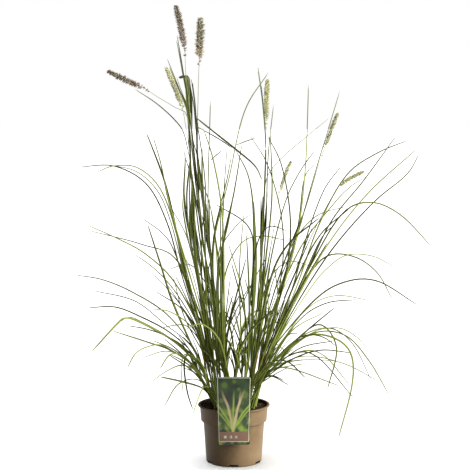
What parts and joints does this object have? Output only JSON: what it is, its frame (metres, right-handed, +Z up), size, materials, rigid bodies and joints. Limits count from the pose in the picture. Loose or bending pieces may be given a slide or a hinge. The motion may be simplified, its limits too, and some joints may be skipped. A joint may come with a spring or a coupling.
{
  "type": "potted fountain grass clump",
  "caption": "Clump of fountain grass with narrow arching leaves and bristly flower heads, growing in a round plastic nursery pot with a plant label.",
  "frame": {"origin": "middle of the pot's flat underside", "axes": "+Z up through the pot, -Y to the front where the plant label hangs, +X to the right as seen from the front"},
  "size_m": [0.9325, 0.74, 1.1961],
  "materials": {
    "culm": "smooth stem",
    "label_card": "printed semi-matt plastic card",
    "leaf": "matt leaf with a faint sheen",
    "ripe_dark_plume": "bristly",
    "ripe_khaki_plume": "bristly",
    "young_plume": "bristly",
    "pot_plastic": "satin moulded plastic",
    "potting_soil": "crumbly moist soil"
  },
  "bodies": {
    "root": {"flower_stem_1": "culm", "flower_stem_2": "culm", "flower_stem_3": "culm", "flower_stem_4": "culm", "flower_stem_5": "culm", "flower_stem_6": "culm", "flower_stem_7": "culm", "flower_stem_8": "culm", "label": "label_card", "leaf_shoot_centre_1": "leaf", "leaf_shoot_centre_2": "leaf", "leaf_shoot_centre_3": "leaf", "leaf_shoot_centre_4": "leaf", "leaf_shoot_centre_5": "leaf", "leaf_shoot_centre_6": "leaf", "leaf_shoot_centre_7": "leaf", "leaf_shoot_centre_8": "leaf", "leaf_shoot_centre_9": "leaf", "leaf_shoot_left_1": "leaf", "leaf_shoot_left_10": "leaf", "leaf_shoot_left_2": "leaf", "leaf_shoot_left_3": "leaf", "leaf_shoot_left_4": "leaf", "leaf_shoot_left_5": "leaf", "leaf_shoot_left_6": "leaf", "leaf_shoot_left_7": "leaf", "leaf_shoot_left_8": "leaf", "leaf_shoot_left_9": "leaf", "leaf_shoot_right_1": "leaf", "leaf_shoot_right_10": "leaf", "leaf_shoot_right_11": "leaf", "leaf_shoot_right_12": "leaf", "leaf_shoot_right_13": "leaf", "leaf_shoot_right_14": "leaf", "leaf_shoot_right_15": "leaf", "leaf_shoot_right_16": "leaf", "leaf_shoot_right_17": "leaf", "leaf_shoot_right_18": "leaf", "leaf_shoot_right_2": "leaf", "leaf_shoot_right_3": "leaf", "leaf_shoot_right_4": "leaf", "leaf_shoot_right_5": "leaf", "leaf_shoot_right_6": "leaf", "leaf_shoot_right_7": "leaf", "leaf_shoot_right_8": "leaf", "leaf_shoot_right_9": "leaf", "leaf_shoot_upright_1": "leaf", "leaf_shoot_upright_2": "leaf", "leaf_shoot_upright_3": "leaf", "leaf_shoot_upright_4": "leaf", "plume_1": "ripe_dark_plume", "plume_2": "ripe_khaki_plume", "plume_3": "ripe_dark_plume", "plume_4": "young_plume", "plume_5": "young_plume", "plume_6": "young_plume", "plume_7": "young_plume", "plume_8": "young_plume", "pot": "pot_plastic", "soil": "potting_soil"}
  },
  "joints": []
}
